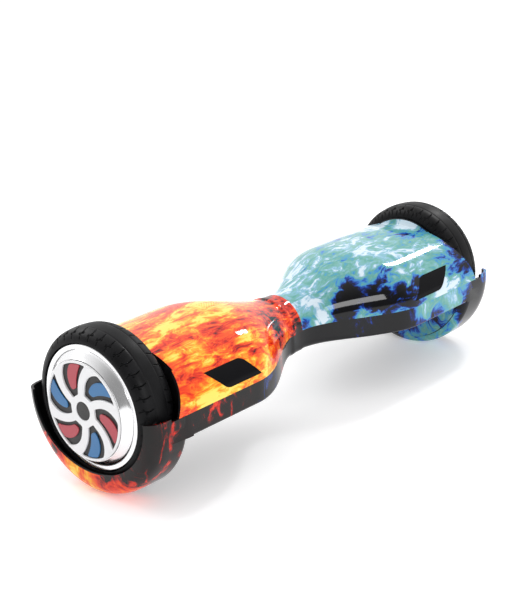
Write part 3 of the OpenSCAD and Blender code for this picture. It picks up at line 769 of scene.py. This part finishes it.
def deck_shell(side, proud):
    """One deck shell: skirt, fender, mat recess and screw wells."""
    name = "left" if side < 0 else "right"
    shell = skirt_solid("deck_" + name, 0, DECK_Z, SEAM_Z, NECK_X, END_X, proud)
    inside = skirt_solid("cut", WALL, DECK_Z + WALL, SEAM_Z + 5, NECK_X - 1, END_X - WALL, proud)
    combine(shell, [inside])
    band = combine(skirt_band(-1), [skirt_band(1)], "UNION")
    combine(band, [tube("cut", END_X, END_X + 60, FENDER_R - WALL, 160)])
    wall = tube("wall", END_X - WALL, END_X + WALL, LIP_R + 16, 160)
    above = block("cut", (END_X - 10, -150, SEAM_Z), (END_X + 20, 150, SEAM_Z + 100))
    combine(wall, [above, tube("cut", END_X, END_X + 30, LIP_R + 13.5, 160)])
    recess = mat_space(WALL, DECK_Z, DECK_Z + MAT_DEPTH + WALL)
    bosses = []
    for x, y in BOSS_AT:
        for edge in (1, -1):
            bosses.append(post("boss", x, edge * y, DECK_Z + 1, SEAM_Z - 0.1, BOSS_R))
    combine(shell, [band, wall, recess, fender_solid(), *bosses], "UNION")
    cuts = [
        mat_space(0, DECK_Z - 1, DECK_Z + MAT_DEPTH),
        tube("cut", END_X - 10, END_X + 10, AXLE_HOLE_R),
        block("cut", (-10, -150, -20), (400, 150, 0)),
    ]
    for x, y in BOSS_AT:
        for edge in (-1, 1):
            cuts.append(post("cut", x, edge * y, DECK_Z - 1, DECK_Z + 3.5, SCREW_HEAD_R))
            cuts.append(post("cut", x, edge * y, DECK_Z + 3, SEAM_Z + 5, SCREW_R))
    if side > 0:
        cuts += right_fittings()
    combine(shell, cuts)
    mirrored(shell, side)
    shade(shell, 32)
    slot = "fire_deck" if side < 0 else "ice_deck"
    show(shell, f"{name}_half", MATERIALS[slot], [f"deck_shell_{name}"])
    leave_black(shell, in_well)


def in_well(c, normal):
    """Whether a face of the deck shell looks into the wheel well."""
    radius = math.hypot(c.y, c.z - AXIS_Z)
    inward = -(c.y * normal.y + (c.z - AXIS_Z) * normal.z) / max(1, radius)
    facing_wheel = abs(c.x) < END_X + 2 and radius < FENDER_R - 8
    return abs(c.x) > END_X - 0.2 and (inward > 0.3 or facing_wheel)


def right_fittings():
    """Openings for the charge socket, the switch and the status window."""
    gap = 0.2
    low, high = box_mm("charge_socket")
    charge_low = (low.x - gap, HALF_WIDTH - 20, low.z - gap)
    charge_high = (high.x + gap, HALF_WIDTH + 20, high.z + gap)
    barrel_r, bezel_r, face = 7.1, 8.6, HALF_WIDTH - 1.5
    turn = np.linspace(0, 2 * math.pi, 48, endpoint=False)
    steps = ((HALF_WIDTH - 20, barrel_r), (face, barrel_r), (face, bezel_r), (HALF_WIDTH + 5, bezel_r))
    x, z = SWITCH_AT
    switch = loft("cut", [[(x + r * math.cos(t), y, z + r * math.sin(t)) for t in turn] for y, r in steps])
    low, high = box_mm("status_window")
    window_low = (low.x - gap, low.y - gap, DECK_Z - 1)
    window_high = (high.x + gap, high.y + gap, DECK_Z + 9)
    return [block("cut", charge_low, charge_high), switch, block("cut", window_low, window_high)]


# ---- wheels ----

def revolved(name, profile):
    """A solid of revolution about the wheel axis from (radius, x) points."""
    turn = np.linspace(0, 2 * math.pi, 192, endpoint=False)
    rings = [[(x, r * math.cos(t), AXIS_Z + r * math.sin(t)) for r, x in profile] for t in turn]
    return loft(name, rings, closed=True)


TREAD_PITCHES = 38
STEPS_PER_PITCH = 28
TREAD_R = 80
PITCH = 2 * math.pi * TREAD_R / TREAD_PITCHES
TREAD_DEPTH = 2.0
RING_AT = 7.5
LINE_FROM, LINE_TO = 9, 25
SLOT_FROM, SLOT_TO = 20, 27
WING_AT, WING_REACH, WING_SLANT = 18.6, 2.4, 0.4


def groove(distance, half_width):
    """1 inside a groove, easing to 0 at its edges."""
    return 1 - smooth((np.abs(distance) - half_width + 0.35) / 0.7)


def tread_depth(u, s):
    """Depth of the tread pattern: u runs round the tyre and s across it, in millimetres."""
    cell = (u + 0.5 * PITCH) % PITCH - 0.5 * PITCH
    away = np.abs(s)
    # a faint ring on each side of the middle
    ring = groove(away - RING_AT, 0.5) * 0.22
    # a thin waved line from the ring to the shoulder
    wave = 0.8 * np.sin((away - 11) / 14 * 2 * math.pi)
    line = groove(cell - wave, 0.4) * (away > LINE_FROM) * (away < LINE_TO) * 0.8
    # two round pits joined by a slanted cut, like a butterfly's wings
    near_wing = groove(np.hypot(cell - WING_REACH, away - 17.7), 1.0)
    far_wing = groove(np.hypot(cell + WING_REACH, away - 19.6), 1.0)
    wing = np.maximum(near_wing, far_wing)
    wing_line = groove(away - WING_AT + WING_SLANT * cell, 0.3) * (np.abs(cell) < WING_REACH) * 0.6
    # a short slot between the lines, on the inner shoulder only
    between_lines = cell - PITCH / 2 * np.sign(cell)
    slot = groove(between_lines, 0.5) * (away > SLOT_FROM) * (away < SLOT_TO) * (s > 0)
    return TREAD_DEPTH * np.maximum.reduce([ring, line, wing, wing_line, slot])


def tyre(side):
    """A tyre with its sipes and slots cut to depth, made as one ring of sections."""
    name = "left" if side < 0 else "right"
    turn = np.radians(np.linspace(0, 90, 30))
    half = TYRE_W / 2
    shoulder, drop, crown = 14, 13, 0.6
    shoulder_r = TYRE_R - drop + (drop - crown) * np.sin(turn)
    shoulder_x = half - shoulder + shoulder * np.cos(turn)
    crown_x = np.linspace(half - shoulder, 0, 13)[1:]
    crown_r = TYRE_R - crown * (crown_x / (half - shoulder)) ** 2
    radius = np.concatenate([shoulder_r, crown_r])
    across = np.concatenate([shoulder_x, crown_x])
    radius = np.concatenate([radius, radius[-2::-1]])
    across = np.concatenate([across, -across[-2::-1]])
    step = np.hypot(np.diff(radius), np.diff(across))
    run = np.concatenate([[0], np.cumsum(step)])
    s = run - run[-1] / 2
    bead_r = RIM_R + 0.3
    ends = [(bead_r, -half + 5.7), (SEAT_R, -half + 7.1), (SEAT_R, half - 8.0), (bead_r, half - 6.6)]
    rings = []
    count = TREAD_PITCHES * STEPS_PER_PITCH
    for i in range(count):
        t = 2 * math.pi * i / count
        r = radius - tread_depth(t * TREAD_R, s)
        ring = list(zip(r, TYRE_MID + across)) + [(a, TYRE_MID + b) for a, b in ends]
        rings.append([(x, q * math.cos(t), AXIS_Z + q * math.sin(t)) for q, x in ring])
    obj = loft("tyre_tread_" + name, rings, closed=True)
    mirrored(obj, side)
    obj.data.polygons.foreach_set("use_smooth", [True] * len(obj.data.polygons))
    obj.data.set_sharp_from_angle(angle=math.radians(50))
    show(obj, f"{name}_wheel", MATERIALS["tyre_rubber"], [f"tyre_{name}"])


def rim(side):
    """Polished alloy rim with a rounded outer lip and a turned cone inside it."""
    name = "left" if side < 0 else "right"
    lip = arc((RIM_R - 1.5, RIM_OUT - 1.5), 1.5, 0, 90, 7)
    edge = arc((61.6, RIM_OUT - 0.9), 0.9, 90, 150, 4)
    cone = [(60.4, RIM_OUT + 0.6), (59.0, RIM_OUT + 1.9), (57.4, RIM_OUT + 3.4), (55.8, RIM_OUT + 4.9)]
    flat = [(54.0, RIM_OUT + 6.6), (HUB_R + 1.0, RIM_OUT + 7.8), (HUB_R + 0.5, RIM_OUT + 8.0)]
    face, boss_x = HALF_LENGTH - 6.5, HALF_LENGTH - 14.5
    inside = [(HUB_R + 0.3, HALF_LENGTH - 3), (0.5, HALF_LENGTH - 3), (0.5, face)]
    back = [(14, face), (14, boss_x), (18, boss_x), (18, HALF_LENGTH - 6)]
    bell = [(48, HALF_LENGTH - 6), (56, HALF_LENGTH - 13), (56, RIM_IN + 3), (60, RIM_IN + 3), (60, RIM_IN)]
    bead = [(RIM_R, RIM_IN), (RIM_R, RIM_IN + 2), (SEAT_R, RIM_IN + 3.5), (SEAT_R, RIM_OUT - 3.5)]
    profile = lip + edge + cone + flat + inside + back + bell + bead + [(RIM_R, RIM_OUT - 2)]
    obj = revolved("rim_polished_" + name, profile)
    mirrored(obj, side)
    shade(obj, 28)
    show(obj, f"{name}_wheel", MATERIALS["polished_rim"], [f"rim_{name}"])


def edge_lead(r):
    """Angle of a hub window's leading edge at radius r, in degrees."""
    return 105.6 - 0.8 * (r - 17.3)


def edge_trail(r):
    """Angle of a hub window's trailing edge at radius r, in degrees."""
    return 139 - 0.031 * max(0, r - 24) ** 2


def polar(r, degrees):
    """A point (y, z) of the hub plane."""
    t = math.radians(degrees)
    return (-r * math.cos(t), r * math.sin(t))


def window_points(r0, r1, lead, trail):
    """Outline of a hub window between two radii, with its edges turned inwards."""
    rs = np.linspace(r0, r1, 16)
    first = edge_lead(r1) + lead
    last = edge_trail(r1) - trail
    points = [polar(r, edge_lead(r) + lead) for r in rs]
    points += [polar(r1, a) for a in np.linspace(first, last, 10)[1:-1]]
    points += [polar(r, edge_trail(r) - trail) for r in reversed(rs)]
    return points


def rounded(points, radius):
    """An outline with its sharp corners replaced by short curves."""
    points = np.array(points, float)
    step = np.roll(points, -1, axis=0) - points
    keep = np.linalg.norm(step, axis=1) > 1e-6
    points = points[keep]
    step = np.roll(points, -1, axis=0) - points
    heading = np.arctan2(step[:, 1], step[:, 0])
    turn = (heading - np.roll(heading, 1) + math.pi) % (2 * math.pi) - math.pi
    corners = [points[i] for i in range(len(points)) if abs(turn[i]) > math.radians(28)]
    out = []
    for i, p in enumerate(points):
        near = [c for c in corners if np.linalg.norm(c - p) < radius]
        if not near:
            out.append(tuple(p))
        elif np.linalg.norm(near[0] - p) < 1e-9:
            before = cut_back(points, i, -1, radius)
            after = cut_back(points, i, 1, radius)
            for t in np.linspace(0, 1, 6):
                out.append(tuple(before * (1 - t) ** 2 + p * 2 * t * (1 - t) + after * t * t))
    return out


def cut_back(points, i, way, distance):
    """The point of an outline at that distance from its corner i."""
    here = points[i]
    count = len(points)
    for k in range(1, count):
        near, far = points[(i + way * (k - 1)) % count], points[(i + way * k) % count]
        gap = np.linalg.norm(far - here)
        if gap >= distance:
            start = np.linalg.norm(near - here)
            return near + (far - near) * (distance - start) / max(1e-9, gap - start)
    return here


def turned(points, degrees):
    """Points (y, z) turned as the hub turns."""
    t = math.radians(degrees)
    return [(y * math.cos(t) - z * math.sin(t), y * math.sin(t) + z * math.cos(t)) for y, z in points]


def circle(radius, count=160):
    """Points of a circle in the hub plane."""
    return [polar(radius, 360 * i / count) for i in range(count)]


def face_plate(name, outlines, x0, x1, rounding):
    """A flat plate in the hub plane from outlines, with holes, and rounded edges."""
    curve = bpy.data.curves.new(name, "CURVE")
    curve.dimensions = "2D"
    curve.fill_mode = "BOTH"
    curve.extrude = ((x1 - x0) / 2 - rounding) * MM
    curve.bevel_depth = rounding * MM
    curve.bevel_resolution = 2
    curve.offset = -rounding * MM
    for outline in outlines:
        spline = curve.splines.new("POLY")
        spline.points.add(len(outline) - 1)
        for point, (y, z) in zip(spline.points, outline):
            point.co = (y * MM, z * MM, 0, 1)
        spline.use_cyclic_u = True
    source = bpy.data.objects.new(name, curve)
    bpy.context.scene.collection.objects.link(source)
    graph = bpy.context.evaluated_depsgraph_get()
    mesh = bpy.data.meshes.new_from_object(source.evaluated_get(graph))
    bpy.data.objects.remove(source)
    middle = (x0 + x1) / 2 * MM
    mesh.transform(Matrix(((0, 0, 1, middle), (1, 0, 0, 0), (0, 1, 0, AXIS_Z * MM), (0, 0, 0, 1))))
    obj = bpy.data.objects.new(name, mesh)
    bpy.context.scene.collection.objects.link(obj)
    weld = obj.modifiers.new("weld", "WELD")
    weld.merge_threshold = 0.00001
    return settle(obj)


def hub(side):
    """Hub face: white plate with six swirled windows, dark backing and coloured inserts."""
    name = "left" if side < 0 else "right"
    body = f"{name}_wheel"
    window_from, window_to, window_round = 17.5, 49.5, 1.6
    bore_r, cap_r = 9.8, 9.6
    plate_back = HALF_LENGTH - 2.2
    floor_x = HALF_LENGTH - 2.25
    window = rounded(window_points(window_from, window_to, 0, 0), window_round)
    outlines = [circle(HUB_R - 0.05), circle(bore_r, 64), *(turned(window, 60 * i) for i in range(6))]
    plate = face_plate("hub_face_" + name, outlines, plate_back, HALF_LENGTH, 0.35)
    mirrored(plate, side)
    show(shade(plate, 30), body, MATERIALS["hub_white"], [f"hub_plate_{name}"])
    profile = [(0.4, HALF_LENGTH - 3), (HUB_R, HALF_LENGTH - 3), (HUB_R, floor_x), (cap_r, floor_x)]
    profile += [(cap_r, HALF_LENGTH - 0.7), (9.1, HALF_LENGTH - 0.25), (0.4, HALF_LENGTH - 0.2)]
    backing = revolved("hub_floor_" + name, profile)
    mirrored(backing, side)
    show(shade(backing, 30), body, MATERIALS["hub_black"], [f"hub_backing_{name}"])
    insert_from, insert_to, insert_round = 23.5, 48.5, 3.0
    shape = rounded(window_points(insert_from, insert_to, 8, 13), insert_round)
    for colour, first in (("red", 0), ("blue", 60)):
        made = []
        for i in range(3):
            outline = turned(shape, first + 120 * i)
            insert = f"insert_{colour}_{name}_{i}"
            made.append(face_plate(insert, [outline], plate_back, HALF_LENGTH - 0.8, 0.4))
        for obj in made:
            mirrored(obj, side)
            slot = "insert_" + colour
            show(shade(obj, 30), body, MATERIALS[slot], [f"{colour}_inserts_{name}"])


def foot_mat(side):
    """Ribbed rubber foot mat with soft edges."""
    name = "left" if side < 0 else "right"
    low, high = box_mm(f"foot_mat_{name}")
    thick, leg_r, legs_at = 2.5, 4, (125, 185)
    grooves, groove_pitch, groove_wide, groove_deep, groove_half_length = 12, 10.6, 2, 0.7, 44
    xs = np.linspace(MAT_FROM, MAT_TO, 48)
    rim_y = [(x, body_half(x) - MAT_INSET) for x in xs]
    outline = [(x, -y) for x, y in rim_y] + [(x, y) for x, y in reversed(rim_y)]
    mat = loft("mat_" + name, [[(x, y, z) for x, y in outline] for z in (low.z, low.z + thick)])
    cuts = []
    for i in range(1, grooves + 1):
        x = MAT_FROM + i * groove_pitch
        start = (x, -groove_half_length, low.z - 1)
        cuts.append(block("cut", start, (x + groove_wide, groove_half_length, low.z + groove_deep)))
    combine(mat, cuts)
    combine(mat, [post("leg", x, 0, low.z + 2, high.z, leg_r) for x in legs_at], "UNION")
    mirrored(mat, side)
    shade(mat, 30, 0.35)
    show(mat, f"{name}_mat", MATERIALS["mat_rubber"], [f"foot_mat_{name}"])


# ---- light and camera ----

def area_light(name, place, power, width, height, aim=(0, 0, 0.1)):
    """A white soft box that points at aim."""
    data = bpy.data.lights.new(name, "AREA")
    data.energy = power
    data.shape = "RECTANGLE"
    data.size = width
    data.size_y = height
    obj = bpy.data.objects.new(name, data)
    bpy.context.scene.collection.objects.link(obj)
    obj.location = place
    obj.rotation_mode = "QUATERNION"
    obj.rotation_quaternion = (Vector(aim) - Vector(place)).to_track_quat("-Z", "Y")


def surroundings():
    """A white world, brighter on the far right than on the camera's side."""
    bright_side = (0.68, 0.60, 0.42)
    dim, bright = 0.32, 1.10
    world = bpy.data.worlds.new("studio")
    world.use_nodes = True
    tree = world.node_tree
    background = tree.nodes["Background"]
    background.inputs["Color"].default_value = (1.0, 1.0, 1.0, 1.0)
    place = tree.nodes.new("ShaderNodeTexCoord")
    toward = tree.nodes.new("ShaderNodeVectorMath")
    toward.operation = "DOT_PRODUCT"
    toward.inputs[1].default_value = bright_side
    level = tree.nodes.new("ShaderNodeMapRange")
    level.interpolation_type = "SMOOTHSTEP"
    level.inputs["From Min"].default_value = -0.55
    level.inputs["From Max"].default_value = 0.55
    level.inputs["To Min"].default_value = dim
    level.inputs["To Max"].default_value = bright
    tree.links.new(place.outputs["Generated"], toward.inputs[0])
    tree.links.new(toward.outputs["Value"], level.inputs["Value"])
    tree.links.new(level.outputs["Result"], background.inputs["Strength"])
    bpy.context.scene.world = world


def studio():
    """White floor with a slight glow, and three soft boxes."""
    surroundings()
    bpy.context.scene.view_settings.view_transform = "Standard"
    mesh = bpy.data.meshes.new("floor")
    size = 12.0
    corners = [(-size, -size, 0), (size, -size, 0), (size, size, 0), (-size, size, 0)]
    mesh.from_pydata(corners, [], [(0, 1, 2, 3)])
    floor = bpy.data.objects.new("floor", mesh)
    bpy.context.scene.collection.objects.link(floor)
    paper = Finish("floor_paper")
    cloud = paper.noise(paper.place, 3.0, 2.0)
    paper.set(Base_Color=paper.mix(cloud, (0.90, 0.90, 0.91), (0.92, 0.92, 0.925)), Roughness=0.6)
    paper.set(Emission_Color=(1.0, 1.0, 1.0, 1.0), Emission_Strength=0.28)
    mesh.materials.append(paper.material)
    area_light("key", (1.9, 0.2, 1.8), 15, 0.2, 0.5)
    area_light("back", (-0.2, 2.2, 1.9), 30, 2.2, 1.2)
    area_light("front", (-0.55, -2.1, 1.0), 16, 0.9, 0.6, (0.07, -0.06, 0.11))


def camera():
    """The photograph's view; the lens shifts are shares of the frame's height."""
    azimuth, elevation, roll = (math.radians(a) for a in (-48.01, 19.77, -3.02))
    distance = 1.62433
    flat = math.cos(elevation)
    back = Vector((math.sin(azimuth) * flat, -math.cos(azimuth) * flat, math.sin(elevation)))
    across = Vector((0, 0, 1)).cross(back).normalized()
    upright = back.cross(across)
    right = across * math.cos(roll) + upright * math.sin(roll)
    top = upright * math.cos(roll) - across * math.sin(roll)
    target = Vector((0, 0, AXIS_Z * MM))
    place = target + back * distance
    data = bpy.data.cameras.new("camera")
    data.sensor_width = 36
    data.lens = 87.282
    data.shift_x = -0.0311667
    data.shift_y = 0.0428333
    obj = bpy.data.objects.new("camera", data)
    bpy.context.scene.collection.objects.link(obj)
    turn = Matrix((right, top, back)).transposed().to_4x4()
    obj.matrix_world = Matrix.Translation(place) @ turn
    bpy.context.scene.camera = obj


camera()
studio()
finish_nodes()
for side, proud in ((-1, COLLAR_PROUD), (1, 0.0)):
    belly_shell(side, proud)
    lamp_window(side)
    deck_shell(side, proud)
    tyre(side)
    rim(side)
    hub(side)
    foot_mat(side)
